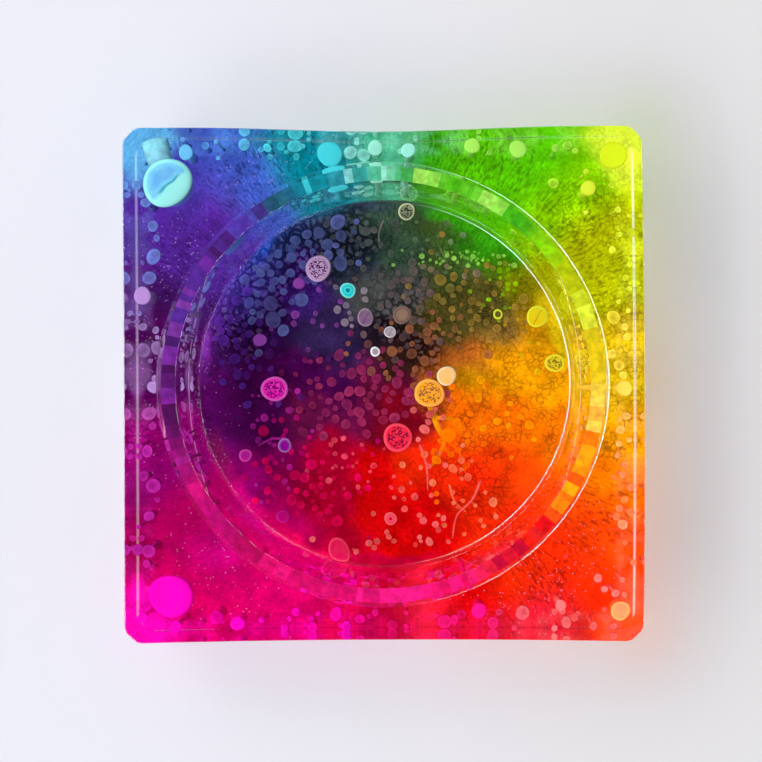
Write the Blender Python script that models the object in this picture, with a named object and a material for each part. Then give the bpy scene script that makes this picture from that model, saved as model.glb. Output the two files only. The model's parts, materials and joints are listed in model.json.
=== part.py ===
"""A square clear-resin dish with a round well, cast over a film of coloured alcohol inks.

Units are metres and +Z is up. The origin is the middle of the flat face that the dish rests on,
+X is to the right and +Y is to the back. The dish is one bonded casting. Its separate pours are
modelled as separate solids: the clear body, nine areas of the ink film under it, and the larger
ink cells that sank into the clear resin while it was still liquid.
"""

import math

import bmesh
import bpy

# The block
BLOCK_WIDTH = 0.1000
BLOCK_DEPTH = 0.0993
BLOCK_HEIGHT = 0.0250
CORNER_CHAMFER = 0.0024
GAP = 0.0003  # between neighbouring pieces

# The well: a bevelled rim, a drafted wall and a filleted floor
WELL_RADIUS = 0.0436
WELL_OVAL = 0.982  # its radius along Y over its radius along X
RIM_BEVEL_WIDTH = 0.0033
RIM_BEVEL_DEPTH = 0.0025
WELL_FLOOR_HEIGHT = 0.0070
WELL_FLOOR_RADIUS = 0.0376
FLOOR_FILLET = 0.0015
FILLET_STEPS = 4
WELL_SEGMENTS = 72

# The ink film
INK_THICKNESS = 0.0015
CENTRE_POUR_RADIUS = 0.0150
CENTRE_POUR_PLACE = (0.0030, 0.0120)
POUR_SEGMENTS = 40
REACH = 0.2  # how far a cutter extends past the block

# The sunken cells: each stands on the film, narrows to a waist and ends in a round head
SMALL_CELL_SEGMENTS = 12
LARGE_CELL_SEGMENTS = 20
LARGE_CELL_RADIUS = 0.0025
FOOT_SHARE = 0.80  # of the head's radius
WAIST_SHARE = 0.60
WAIST_HEIGHT_SHARE = 0.55  # of the cell's height
HEAD_DEPTH_SHARE = 0.35  # the head's rounded edge over its radius
CROWN_SHARE = 0.75

MM = 0.001

COLOURS = {
    "clear": (0.90, 0.93, 0.95),
    "violet": (0.24, 0.05, 0.45),
    "blue": (0.10, 0.18, 0.70),
    "cyan": (0.18, 0.72, 0.85),
    "teal": (0.02, 0.38, 0.36),
    "green": (0.12, 0.48, 0.03),
    "yellow": (0.80, 0.72, 0.02),
    "orange": (0.90, 0.30, 0.01),
    "peach": (0.90, 0.55, 0.28),
    "red": (0.80, 0.02, 0.04),
    "magenta": (0.75, 0.01, 0.32),
    "pink": (0.85, 0.22, 0.55),
    "lilac": (0.55, 0.38, 0.75),
    "grey": (0.38, 0.36, 0.38),
    "olive": (0.45, 0.48, 0.34),
    "charcoal": (0.05, 0.07, 0.07),
}

# Outer pours: name, then the angles in degrees between which each lies, counter-clockwise from +X
POURS = [
    ("ink_pour_yellow", "yellow", -8, 53),
    ("ink_pour_green", "green", 53, 88),
    ("ink_pour_teal", "teal", 88, 115),
    ("ink_pour_blue", "blue", 115, 152),
    ("ink_pour_violet", "violet", 152, 205),
    ("ink_pour_magenta", "magenta", 205, 252),
    ("ink_pour_red", "red", 252, 300),
    ("ink_pour_orange", "orange", 300, 352),
]

# Cells under the well's floor: name, colour, x, y, head radius and head height in millimetres
WELL_CELLS = [
    ("cell_lilac_speckled", "lilac", -13.5, 23.5, 2.6, 6.2),
    ("cell_pink_small", "pink", -17.5, 20.5, 1.2, 5.0),
    ("cell_cyan_ring", "cyan", -7.5, 19.0, 1.6, 6.0),
    ("cell_mauve", "lilac", -4.0, 13.5, 1.7, 4.5),
    ("cell_beige", "olive", 3.5, 14.0, 1.8, 4.8),
    ("cell_grey_ring", "grey", 1.0, 10.5, 1.2, 4.0),
    ("cell_white_ring", "grey", -2.0, 6.5, 1.0, 6.0),
    ("cell_olive_speckled", "olive", 4.5, 35.0, 1.7, 6.2),
    ("cell_plum", "pink", -25.5, 9.0, 1.4, 5.0),
    ("cell_magenta_speckled", "pink", -22.5, -1.0, 2.6, 6.2),
    ("cell_orange_speckled", "orange", 9.0, -2.0, 2.6, 5.6),
    ("cell_peach", "peach", 12.5, 1.5, 2.0, 6.2),
    ("cell_crimson_speckled", "red", 2.5, -11.0, 2.9, 5.8),
    ("cell_orange_small", "orange", 13.0, -10.5, 1.6, 5.0),
    ("cell_violet_ring", "lilac", -20.5, -12.5, 1.4, 6.0),
    ("cell_pink_ring", "pink", -28.5, -14.5, 1.3, 6.0),
    ("cell_magenta_small", "magenta", -21.0, -27.0, 1.3, 5.0),
    ("cell_red_ring", "pink", 1.0, -27.5, 1.3, 6.0),
    ("cell_crimson_drop", "red", -9.5, -34.0, 2.5, 6.0),
    ("cell_yellow_plain", "yellow", 31.0, 13.5, 2.1, 5.6),
    ("cell_yellow_speckled", "yellow", 34.5, 4.0, 1.9, 6.2),
    ("cell_amber_ring", "peach", 23.0, 14.0, 1.0, 6.0),
]

# Cells in the thick resin round the well
RIM_CELLS = [
    ("cell_cyan_large", "cyan", -42.0, 39.5, 4.8, 19.0),
    ("cell_cyan_small", "cyan", -38.5, 45.5, 1.3, 17.0),
    ("cell_aqua", "cyan", -10.5, 45.5, 2.5, 12.0),
    ("cell_mint", "cyan", -1.5, 46.5, 1.5, 14.0),
    ("cell_pale_cyan", "cyan", 5.0, 45.5, 1.4, 20.0),
    ("cell_green_west", "green", 17.5, 46.5, 1.5, 18.0),
    ("cell_green_east", "green", 26.5, 46.0, 1.7, 16.0),
    ("cell_lemon_disc", "yellow", 40.0, 38.0, 1.5, 20.0),
    ("cell_lemon_corner", "yellow", 45.5, 45.0, 2.7, 12.0),
    ("cell_amber_edge", "yellow", 47.0, -1.0, 1.5, 18.0),
    ("cell_coral", "peach", 34.5, -43.5, 1.1, 16.0),
    ("cell_cerise", "magenta", 18.5, -44.5, 1.5, 16.0),
    ("cell_cerise_edge", "magenta", -29.0, -47.0, 1.4, 14.0),
    ("cell_hot_pink_large", "magenta", -42.0, -41.5, 4.3, 15.0),
    ("cell_lavender", "lilac", -47.0, 17.5, 1.7, 18.0),
    ("cell_peach_corner", "peach", 46.5, -45.0, 1.9, 12.0),
]


def clear_scene():
    for old in list(bpy.data.objects):
        bpy.data.objects.remove(old)


def ink_material(colour):
    """The shared material of one ink colour."""
    name = "ink_" + colour
    if name in bpy.data.materials:
        return bpy.data.materials[name]
    material = bpy.data.materials.new(name)
    material.use_nodes = True
    shader = material.node_tree.nodes["Principled BSDF"]
    shader.inputs["Base Color"].default_value = (*COLOURS[colour], 1.0)
    shader.inputs["Roughness"].default_value = 0.35
    shader.inputs["Metallic"].default_value = 0.0
    return material


def clear_material():
    """Polished, water-clear casting resin."""
    material = bpy.data.materials.new("clear_resin")
    material.use_nodes = True
    shader = material.node_tree.nodes["Principled BSDF"]
    shader.inputs["Base Color"].default_value = (*COLOURS["clear"], 1.0)
    shader.inputs["Roughness"].default_value = 0.05
    shader.inputs["Transmission Weight"].default_value = 1.0
    shader.inputs["IOR"].default_value = 1.5
    return material


def object_from(name, build, material=None):
    """A new object whose mesh the function build(bm) fills."""
    bm = bmesh.new()
    build(bm)
    bmesh.ops.recalc_face_normals(bm, faces=bm.faces)
    mesh = bpy.data.meshes.new(name)
    bm.to_mesh(mesh)
    bm.free()
    mesh.shade_smooth()
    mesh.set_sharp_from_angle(angle=math.radians(30))
    obj = bpy.data.objects.new(name, mesh)
    bpy.context.scene.collection.objects.link(obj)
    if material:
        mesh.materials.append(material)
    return obj


def as_cutter(obj):
    obj.hide_render = True
    obj.display_type = "WIRE"
    return obj


def prism(bm, outline, bottom, top):
    """A closed prism over a counter-clockwise outline of (x, y) points."""
    low = [bm.verts.new((x, y, bottom)) for x, y in outline]
    high = [bm.verts.new((x, y, top)) for x, y in outline]
    bm.faces.new(reversed(low))
    bm.faces.new(high)
    for i, vertex in enumerate(low):
        after = (i + 1) % len(low)
        bm.faces.new((vertex, low[after], high[after], high[i]))


def turned(bm, profile, segments, oval=1.0):
    """A closed solid of revolution about Z, from (radius, z) points listed bottom to top."""
    rings = []
    for radius, z in profile:
        ring = []
        for i in range(segments):
            angle = 2 * math.pi * i / segments
            ring.append(bm.verts.new((radius * math.cos(angle), oval * radius * math.sin(angle), z)))
        rings.append(ring)
    bm.faces.new(reversed(rings[0]))
    bm.faces.new(rings[-1])
    for lower, upper in zip(rings, rings[1:]):
        for i in range(segments):
            after = (i + 1) % segments
            bm.faces.new((lower[i], lower[after], upper[after], upper[i]))


def block_outline():
    """The square's outline with its four upright edges chamfered."""
    x, y, c = BLOCK_WIDTH / 2, BLOCK_DEPTH / 2, CORNER_CHAMFER
    return [
        (x - c, -y), (x, -y + c), (x, y - c), (x - c, y),
        (-x + c, y), (-x, y - c), (-x, -y + c), (-x + c, -y),
    ]  # fmt: skip


def well_profile():
    """Floor, fillet, drafted wall and bevelled rim, carried on above the top face."""
    centre_radius = WELL_FLOOR_RADIUS - FLOOR_FILLET
    profile = []
    for i in range(FILLET_STEPS + 1):
        turn = math.radians(80) * i / FILLET_STEPS
        radius = centre_radius + FLOOR_FILLET * math.sin(turn)
        profile.append((radius, WELL_FLOOR_HEIGHT + FLOOR_FILLET * (1 - math.cos(turn))))
    rim_slope = RIM_BEVEL_WIDTH / RIM_BEVEL_DEPTH
    profile.append((WELL_RADIUS - RIM_BEVEL_WIDTH, BLOCK_HEIGHT - RIM_BEVEL_DEPTH))
    over = RIM_BEVEL_DEPTH
    profile.append((WELL_RADIUS + over * rim_slope, BLOCK_HEIGHT + over))
    return profile


def cell_profile(head_radius, head_height, clearance=0.0):
    """A cell from its foot on the film to its rounded head, or with a clearance the pocket for it."""
    foot = INK_THICKNESS + GAP
    height = head_height - foot
    edge = HEAD_DEPTH_SHARE * head_radius
    profile = [
        (FOOT_SHARE * head_radius, foot),
        (WAIST_SHARE * head_radius, foot + WAIST_HEIGHT_SHARE * (height - edge)),
        (head_radius, head_height - edge),
        (CROWN_SHARE * head_radius, head_height),
    ]
    if not clearance:
        return profile
    pocket = [(radius + clearance, z) for radius, z in profile]
    pocket[0] = (pocket[0][0], foot - INK_THICKNESS)
    pocket[-1] = (pocket[-1][0], head_height + clearance)
    return pocket


def cell_segments(head_radius):
    return LARGE_CELL_SEGMENTS if head_radius > LARGE_CELL_RADIUS else SMALL_CELL_SEGMENTS


def make_cell(name, colour, x, y, radius, height):
    """One sunken ink cell."""

    def build(bm):
        turned(bm, cell_profile(radius * MM, height * MM), cell_segments(radius * MM))

    cell = object_from(name, build, ink_material(colour))
    cell.location = (x * MM, y * MM, 0)


def make_pocket(name, x, y, radius, height, pockets):
    """The cutter that leaves room for one cell in the clear body."""

    def build(bm):
        turned(bm, cell_profile(radius * MM, height * MM, GAP), cell_segments(radius * MM))

    pocket = as_cutter(object_from("pocket_for_" + name, build))
    pocket.location = (x * MM, y * MM, 0)
    bpy.context.scene.collection.objects.unlink(pocket)
    pockets.objects.link(pocket)


def cut(obj, cutter, operation="DIFFERENCE"):
    boolean = obj.modifiers.new(cutter.name, "BOOLEAN")
    boolean.operation = operation
    boolean.solver = "EXACT"
    if isinstance(cutter, bpy.types.Collection):
        boolean.operand_type = "COLLECTION"
        boolean.collection = cutter
    else:
        boolean.object = cutter


def make_clear_body(cells):
    """The clear pour: the block, less the well and the cells' pockets."""
    body = object_from(
        "clear_body",
        lambda bm: prism(bm, block_outline(), INK_THICKNESS + GAP, BLOCK_HEIGHT),
        clear_material(),
    )
    well = object_from("well_cutter", lambda bm: turned(bm, well_profile(), WELL_SEGMENTS, WELL_OVAL))
    cut(body, as_cutter(well))
    pockets = bpy.data.collections.new("pockets")
    bpy.context.scene.collection.children.link(pockets)
    for name, _, x, y, radius, height in cells:
        make_pocket(name, x, y, radius, height, pockets)
    cut(body, pockets)


def make_wedge(name, start, end):
    """A cutter between two angles from the film's centre, drawn in by half the gap on each side."""
    first, last = math.radians(start), math.radians(end)
    middle = (first + last) / 2
    inset = GAP / 2 / math.sin((last - first) / 2)
    apex = (inset * math.cos(middle), inset * math.sin(middle))
    outline = [apex]
    for angle in (first, middle, last):
        outline.append((apex[0] + REACH * math.cos(angle), apex[1] + REACH * math.sin(angle)))
    return as_cutter(object_from(name, lambda bm: prism(bm, outline, -REACH, REACH)))


def make_centre_cutter():
    def build(bm):
        radius = CENTRE_POUR_RADIUS + GAP
        turned(bm, [(radius, -REACH), (radius, REACH)], POUR_SEGMENTS)

    cutter = as_cutter(object_from("centre_cutter", build))
    cutter.location = (*CENTRE_POUR_PLACE, 0)
    return cutter


def make_outer_pours():
    """The eight colours that run out from the middle of the film to its edges."""
    centre_cutter = make_centre_cutter()
    for name, colour, start, end in POURS:
        pour = object_from(name, lambda bm: prism(bm, block_outline(), 0, INK_THICKNESS), ink_material(colour))
        cut(pour, make_wedge("wedge_for_" + name, start, end), "INTERSECT")
        cut(pour, centre_cutter)


def make_centre_pour():
    """The dark patch that the other colours meet in."""

    def build(bm):
        turned(bm, [(CENTRE_POUR_RADIUS, 0), (CENTRE_POUR_RADIUS, INK_THICKNESS)], POUR_SEGMENTS)

    pour = object_from("ink_pour_charcoal", build, ink_material("charcoal"))
    pour.location = (*CENTRE_POUR_PLACE, 0)


def main():
    clear_scene()
    cells = WELL_CELLS + RIM_CELLS
    make_clear_body(cells)
    make_outer_pours()
    make_centre_pour()
    for cell in cells:
        make_cell(*cell)


main()
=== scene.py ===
"""The looks of the cast resin dish: clear resin over a film of inks, with ink cells sunk in it.

Everything is in metres, +Z up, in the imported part's own frame. The resin is one closed refractive
mesh. The ink film, its cells, drops and strands are opaque meshes inside it.
"""

from collections import defaultdict
import json
import math
import random

import bmesh
import bpy
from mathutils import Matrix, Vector, noise


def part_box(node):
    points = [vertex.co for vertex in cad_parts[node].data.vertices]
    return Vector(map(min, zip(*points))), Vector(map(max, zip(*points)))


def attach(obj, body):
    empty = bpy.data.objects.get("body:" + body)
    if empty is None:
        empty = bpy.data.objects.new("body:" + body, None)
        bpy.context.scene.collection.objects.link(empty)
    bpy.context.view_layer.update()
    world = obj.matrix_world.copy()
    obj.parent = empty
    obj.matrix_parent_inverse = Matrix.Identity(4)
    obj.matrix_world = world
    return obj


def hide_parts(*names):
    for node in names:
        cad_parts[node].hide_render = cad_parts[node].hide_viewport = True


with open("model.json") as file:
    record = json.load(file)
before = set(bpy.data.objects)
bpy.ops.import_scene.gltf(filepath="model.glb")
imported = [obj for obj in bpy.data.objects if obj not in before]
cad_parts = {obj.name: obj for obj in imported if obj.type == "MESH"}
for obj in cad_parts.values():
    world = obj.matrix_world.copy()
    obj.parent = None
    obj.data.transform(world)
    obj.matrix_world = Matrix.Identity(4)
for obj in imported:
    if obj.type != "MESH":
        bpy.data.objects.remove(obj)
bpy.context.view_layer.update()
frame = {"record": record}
MM = 0.001

# The block and the well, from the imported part
BODY_LOW, BODY_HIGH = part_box("clear_body")
HALF_X = (BODY_HIGH[0] - BODY_LOW[0]) / 2
HALF_Y = (BODY_HIGH[1] - BODY_LOW[1]) / 2
TOP = BODY_HIGH[2]
CORNER_CHAMFER = 2.4 * MM
WELL_RADIUS = 43.6 * MM
WELL_OVAL = 0.982  # its depth from front to back over its width
RIM_BEVEL_WIDTH = 3.3 * MM
RIM_BEVEL_DEPTH = 2.5 * MM
WELL_FLOOR = 7.0 * MM
WELL_FLOOR_RADIUS = 37.6 * MM
WALL_DRAFT = 0.3 * MM  # how much wider than its floor the wall's foot is drawn, before its fillet
WELL_SEGMENTS = 360

# Soft edges of the casting
FLOOR_FILLET = 0.9 * MM
TOP_EDGE = 0.22 * MM
BASE_EDGE = 0.12 * MM
RIM_EDGE = 0.75 * MM
BEVEL_FOOT_EDGE = 0.40 * MM
CORNER_SOFTENING = 2.6 * MM
SIDE_STEPS = 32
FLAT_GUARD = 0.06 * MM  # how far past each rounding an extra point keeps the flats' shading flat
# How far the middle of each side stands in (-) or out (+), and how sharply: right, back, left, front
SIDE_BOWS = ((0.45 * MM, 1), (-0.95 * MM, 4), (-0.10 * MM, 1), (-0.55 * MM, 1))

# The ink film, in the lowest part of the resin
FILM_BOTTOM = 0.15 * MM
FILM_TOP = 1.40 * MM
FILM_INSET = 0.04 * MM
FILM_RELIEF = 0.10 * MM
FILM_GRID = 300
PAINTED_RIM = (0.85, 0.12, 0.50, 0.0)  # painted highlight on its rim, by side: right, back, left, front

# Sunken cells and drops, with heights in millimetres
CELL_FOOT = FILM_TOP - 0.3 * MM
CELL_SEGMENTS = 48
DROP_SEGMENTS = 16
DROP_LOWEST = 2.4
WELL_DROP_HIGHEST = 6.2
EDGE_DROP_HIGHEST = 4.9  # close to the well's wall
EDGE_DROP_RISE = 17  # how much higher they may stand away from it
EDGE_DROPS = 260
CORNER_DROPS = 10
DROP_SPACING = 0.88  # the least gap between middles, over the sum of the radii

# The ring of ink tiles under the rim's bevel
TILE_DEGREES = (1.4, 4.0)
TILE_CLEARANCE = 0.30 * MM
TILE_THICKNESS = 0.1 * MM
TILE_SLOPE = 0.4 * MM

TRAIL_SIDES = 10
TRAIL_STEPS = 6

# Seeds of what is drawn at random
SWIRL_SEED = 4
DROP_SEED = 7
TILE_SEED = 5
BUBBLE_SEED = 21

# Inks, as sRGB out of 255
INKS = {
    "sky": (104, 184, 228), "cyan": (66, 202, 212), "deep_cyan": (6, 138, 154), "aqua": (150, 228, 220),
    "mint": (150, 224, 200), "jade": (84, 190, 146), "slate": (48, 58, 78), "navy": (38, 54, 112),
    "pine": (62, 90, 68), "moss": (76, 102, 46), "sage": (112, 132, 90), "olive": (96, 88, 36),
    "khaki": (150, 118, 48), "green": (58, 160, 16), "leaf": (92, 196, 8), "lime": (162, 224, 90),
    "pear": (140, 206, 2), "citron": (180, 186, 2), "lemon": (216, 230, 56), "cream": (232, 226, 190),
    "gold": (222, 190, 14), "ochre": (204, 144, 4), "amber": (248, 168, 4), "straw": (252, 214, 84),
    "peach": (253, 186, 96), "salmon": (253, 140, 96), "tan": (198, 108, 34), "orange": (252, 122, 2),
    "flame": (252, 72, 6), "vermilion": (244, 44, 6), "red": (220, 4, 8), "brick": (142, 8, 34),
    "coral": (252, 120, 118), "rose": (250, 84, 110), "scarlet": (236, 30, 58), "crimson": (190, 0, 52),
    "ruby": (230, 6, 90), "cerise": (218, 0, 104), "fuchsia": (246, 22, 132), "hot_pink": (254, 8, 190),
    "raspberry": (180, 0, 90), "claret": (150, 2, 108), "magenta": (196, 2, 116),
    "orchid": (196, 40, 168), "pink": (222, 110, 196), "mulberry": (122, 20, 84), "wine": (112, 18, 60),
    "plum": (82, 6, 84), "purple": (150, 14, 158), "grape": (128, 42, 160), "indigo": (66, 20, 96),
    "violet": (88, 40, 152), "iris": (84, 66, 182), "cobalt": (72, 98, 204), "azure": (44, 86, 196),
    "lagoon": (34, 88, 112), "periwinkle": (118, 132, 214), "lavender": (188, 146, 214),
    "lilac": (206, 168, 208), "mauve": (122, 84, 124), "amethyst": (156, 72, 174), "dusk": (88, 56, 94),
    "sienna": (152, 92, 60), "steel": (94, 104, 168), "ash": (86, 88, 86), "bronze": (144, 138, 8),
    "taupe": (106, 82, 84), "fawn": (140, 112, 92), "silver": (164, 146, 156), "umber": (64, 36, 30),
    "midnight": (56, 38, 88), "rosewood": (152, 42, 88), "turquoise": (10, 226, 226),
    "chartreuse": (204, 222, 30), "soot": (40, 28, 40), "white": (240, 240, 246),
}  # fmt: skip

# The film's inks by ring: its radius in millimetres, then the inks round it from +X at equal steps
FILM_RINGS = [
    (3, "wine umber umber mulberry wine wine brick brick"),
    (10, "tan umber soot midnight plum mulberry brick brick"),
    (18, "ochre tan olive olive olive ash ash ash midnight midnight midnight plum plum mulberry "
         "mulberry crimson crimson red red vermilion vermilion flame orange orange"),
    (27, "amber amber khaki olive olive moss moss pine pine slate slate violet violet indigo indigo "
         "plum plum plum plum claret raspberry crimson crimson red red red red vermilion "
         "vermilion flame orange orange"),
    (34, "amber ochre bronze green moss pine slate navy iris indigo plum plum claret raspberry "
         "crimson red red vermilion flame orange"),
    (37, "amber gold gold bronze green green green pine slate lagoon navy azure iris violet grape plum "
         "plum mulberry magenta cerise ruby ruby crimson crimson red vermilion vermilion flame orange "
         "orange"),
    (45, "gold gold citron citron pear leaf leaf green jade deep_cyan deep_cyan cobalt violet violet "
         "indigo plum plum claret claret raspberry magenta cerise cerise ruby crimson scarlet "
         "red vermilion vermilion flame orange amber"),
    (60, "gold gold citron citron pear leaf leaf green jade deep_cyan deep_cyan cobalt iris violet "
         "grape grape purple claret claret raspberry cerise cerise cerise cerise ruby ruby "
         "scarlet scarlet vermilion flame orange amber"),
    (67, "gold gold citron citron lemon pear leaf green jade deep_cyan deep_cyan sky sky sky "
         "grape grape purple claret magenta hot_pink hot_pink hot_pink cerise cerise ruby ruby "
         "scarlet scarlet flame salmon orange amber"),
]  # fmt: skip
RING_FRONT = 0.20  # how sharply one ring's ink meets the next: 0 is a slow blend, 0.5 a hard edge
# The paler inks of the cells that crowd the walls, round the dish from +X
WALL_INKS = (
    "straw straw lemon lemon lemon lime lime mint mint aqua cyan sky sky periwinkle periwinkle lavender "
    "lavender orchid orchid orchid hot_pink hot_pink hot_pink hot_pink fuchsia fuchsia fuchsia coral "
    "coral salmon salmon peach"
)

WALL_PALENESS = 0.22  # how much of those the film itself takes up close to a side

# The inks mirrored in the rim's bevel round it from +X: its paler tiles, then its deeper ones
BEVEL_PALE = (
    "straw gold lemon citron pear leaf lime leaf lime mint aqua cyan lagoon iris violet grape amethyst "
    "grape grape purple orchid fuchsia magenta cerise fuchsia cerise fuchsia fuchsia fuchsia "
    "fuchsia scarlet red flame amber amber straw"
)
BEVEL_DEEP = (
    "gold gold citron citron pear green leaf green green jade deep_cyan deep_cyan navy violet indigo "
    "violet violet indigo plum plum claret magenta magenta raspberry cerise cerise cerise cerise "
    "ruby ruby crimson crimson red flame orange orange"
)

# The nine pours of the film, by the angle at which each ends
POUR_ENDS = [
    ("yellow", 53), ("green", 88), ("teal", 115), ("blue", 152), ("violet", 205),
    ("magenta", 252), ("red", 300), ("orange", 352), ("yellow", 360),
]  # fmt: skip
CENTRE_POUR = (3 * MM, 12 * MM, 15 * MM)  # x, y and radius of the charcoal pour
POUR_WANDER = 7.0  # degrees


def linear(ink):
    """An ink's colour as linear RGB."""
    shares = [c / 255 for c in INKS[ink]]
    return tuple(c / 12.92 if c <= 0.04045 else ((c + 0.055) / 1.055) ** 2.4 for c in shares)


def smooth(value, low, high):
    """A smooth step from 0 at low to 1 at high."""
    t = min(max((value - low) / (high - low), 0.0), 1.0)
    return t * t * (3 - 2 * t)


def blended(a, b, share):
    """A colour that is a at share 0 and b at share 1."""
    return tuple(p + (q - p) * share for p, q in zip(a, b))


def ring_of_inks(names):
    return [linear(ink) for ink in names.split()]


def round_the_ring(inks, x, y):
    """The colour of a ring of evenly spaced inks in the direction of a place."""
    place = math.degrees(math.atan2(y, x)) % 360 / 360 * len(inks)
    first = int(place) % len(inks)
    share = smooth(place - int(place), 0.0, 1.0)
    return blended(inks[first], inks[(first + 1) % len(inks)], share)


RINGS = [(radius * MM, ring_of_inks(names)) for radius, names in FILM_RINGS]
WALL_RING = ring_of_inks(WALL_INKS)
BEVEL_RINGS = (ring_of_inks(BEVEL_PALE), ring_of_inks(BEVEL_DEEP))


def film_colour(x, y):
    """The film's colour at a place, without its fine pattern."""
    radius = math.hypot(x, y)
    for (inner, inner_inks), (outer, outer_inks) in zip(RINGS, RINGS[1:]):
        if radius < outer:
            front = RING_FRONT * (outer - inner)
            share = smooth(radius, inner + front, outer - front)
            return blended(round_the_ring(inner_inks, x, y), round_the_ring(outer_inks, x, y), share)
    return round_the_ring(RINGS[-1][1], x, y)


def wall_share(x, y):
    """How much of the walls' paler ink the film holds at a place: most close to a side, in blots."""
    gap = min(HALF_X - abs(x), HALF_Y - abs(y))
    blots = smooth(noise.noise(Vector((x * 230, y * 230, 8.0))), -0.30, 0.25)
    return WALL_PALENESS * smooth(gap, 4.2 * MM, 2.4 * MM) * blots


def drifted(x, y):
    """Where a place's ink came from, as the inks swirled before they set."""
    wide = noise.noise_vector(Vector((x * 70, y * 70, 0.5)))
    fine = noise.noise_vector(Vector((x * 260, y * 260, 4.5)))
    return x + 2.6 * MM * wide.x + 1.0 * MM * fine.x, y + 2.6 * MM * wide.y + 1.0 * MM * fine.y


# ---------------------------------------------------------------------------------------------
# Materials


class Tree:
    """The node tree of a new material or world, with short calls for the nodes used here."""

    def __init__(self, owner):
        owner.use_nodes = True
        self.owner = owner
        self.tree = owner.node_tree
        self.tree.nodes.clear()

    def feed(self, socket, value):
        """Links another node's output to a socket, or gives the socket a plain value."""
        if isinstance(value, bpy.types.NodeSocket):
            self.tree.links.new(value, socket)
        elif isinstance(value, tuple) and len(value) == 3 and socket.type == "RGBA":
            socket.default_value = (*value, 1.0)
        else:
            socket.default_value = value

    def node(self, kind, inputs=None, **settings):
        made = self.tree.nodes.new("ShaderNode" + kind)
        for name, value in settings.items():
            setattr(made, name, value)
        for name, value in (inputs or {}).items():
            self.feed(made.inputs[name], value)
        return made

    def attribute(self, name, output="Fac"):
        return self.node("Attribute", attribute_name=name).outputs[output]

    def place(self):
        return self.node("TexCoord").outputs["Object"]

    def axes(self, vector):
        return tuple(self.node("SeparateXYZ", {"Vector": vector}).outputs)

    def maths(self, operation, a, b=0.0):
        return self.node("Math", {0: a, 1: b}, operation=operation).outputs[0]

    def plus(self, a, b):
        return self.maths("ADD", a, b)

    def minus(self, a, b):
        return self.maths("SUBTRACT", a, b)

    def times(self, a, *others):
        for other in others:
            a = self.maths("MULTIPLY", a, other)
        return a

    def vector(self, operation, a, b):
        made = self.node("VectorMath", {0: a}, operation=operation)
        self.feed(made.inputs["Scale" if operation == "SCALE" else 1], b)
        return made.outputs["Value" if operation == "LENGTH" else 0]

    def step(self, value, low, high, to_low=0.0, to_high=1.0):
        """A smooth step of a value, by default from 0 at low to 1 at high."""
        inputs = {"Value": value, "From Min": low, "From Max": high, "To Min": to_low, "To Max": to_high}
        return self.node("MapRange", inputs, interpolation_type="SMOOTHSTEP").outputs["Result"]

    def band(self, value, start, full, fading, end):
        """0 up to start, 1 from full to fading, and 0 again from end."""
        return self.times(self.step(value, start, full), self.step(value, end, fading))

    def noise(self, place, scale, detail=2.0, output="Fac"):
        inputs = {"Vector": place, "Scale": scale, "Detail": detail}
        return self.node("TexNoise", inputs).outputs[output]

    def cells(self, place, scale, feature="F1"):
        inputs = {"Vector": place, "Scale": scale}
        return self.node("TexVoronoi", inputs, feature=feature).outputs["Distance"]

    def mix(self, factor, a, b, blend_type="MIX"):
        made = self.node("Mix", data_type="RGBA", blend_type=blend_type)
        self.feed(made.inputs["Factor"], factor)
        self.feed(made.inputs[6], a)
        self.feed(made.inputs[7], b)
        return made.outputs[2]

    def tinted(self, colour, tint):
        """A colour times another, or times a grey level that a node gives."""
        if not isinstance(tint, tuple):
            tint = self.node("CombineColor", {"Red": tint, "Green": tint, "Blue": tint}).outputs[0]
        return self.mix(1.0, colour, tint, "MULTIPLY")

    def ramp(self, factor, stops):
        made = self.node("ValToRGB", {"Fac": factor})
        elements = made.color_ramp.elements
        elements[0].position, elements[0].color = stops[0][0], (*stops[0][1], 1.0)
        elements[1].position, elements[1].color = stops[-1][0], (*stops[-1][1], 1.0)
        for place, colour in stops[1:-1]:
            elements.new(place).color = (*colour, 1.0)
        return made.outputs["Color"]

    def finish(self, shader, kind="Material"):
        """Ends the tree in its output, and returns the material or world."""
        output = self.node("Output" + kind)
        self.tree.links.new(shader.outputs[0], output.inputs["Surface"])
        return self.owner

    def matte(self, colour, roughness):
        """Ends the tree in a surface with no gloss of its own."""
        inputs = {"Base Color": colour, "Roughness": roughness, "Specular IOR Level": 0.0}
        return self.finish(self.node("BsdfPrincipled", inputs))


def new_material(name):
    return Tree(bpy.data.materials.new(name))


# Where each pattern of the film is strong: x, y and reach in millimetres
PATTERNS = {
    "crackle": [(30, 2, 15), (20, 12, 14), (22, -10, 14), (36, -10, 10), (46, 12, 14), (45, -8, 14),
                (42, 34, 13), (10, -2, 10), (24, 19, 12), (10, 18, 13), (4, 26, 11), (12, 27, 9),
                (18, -20, 12), (-22, 25, 13), (-6, 26, 12), (47, 2, 12)],
    "cobble": [(-30, 12, 9), (-25, 21, 12), (-16, 27, 11), (-7, 30, 9), (3, 14, 8), (8, 7, 7)],
    "wrinkle": [(20, 44, 18), (36, 32, 14), (-8, 42, 12), (-26, 40, 14), (24, 32, 9), (46, 22, 12),
                (-40, 24, 12), (44, -26, 12), (32, -38, 12), (-42, -8, 12), (24, -30, 10), (2, 36, 8)],
    "speckle": [(-44, 8, 17), (-42, 28, 13), (-43, -10, 14), (-34, -32, 14), (30, -43, 13),
                (41, -34, 9), (-25, 42, 14)],
}  # fmt: skip
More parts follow.
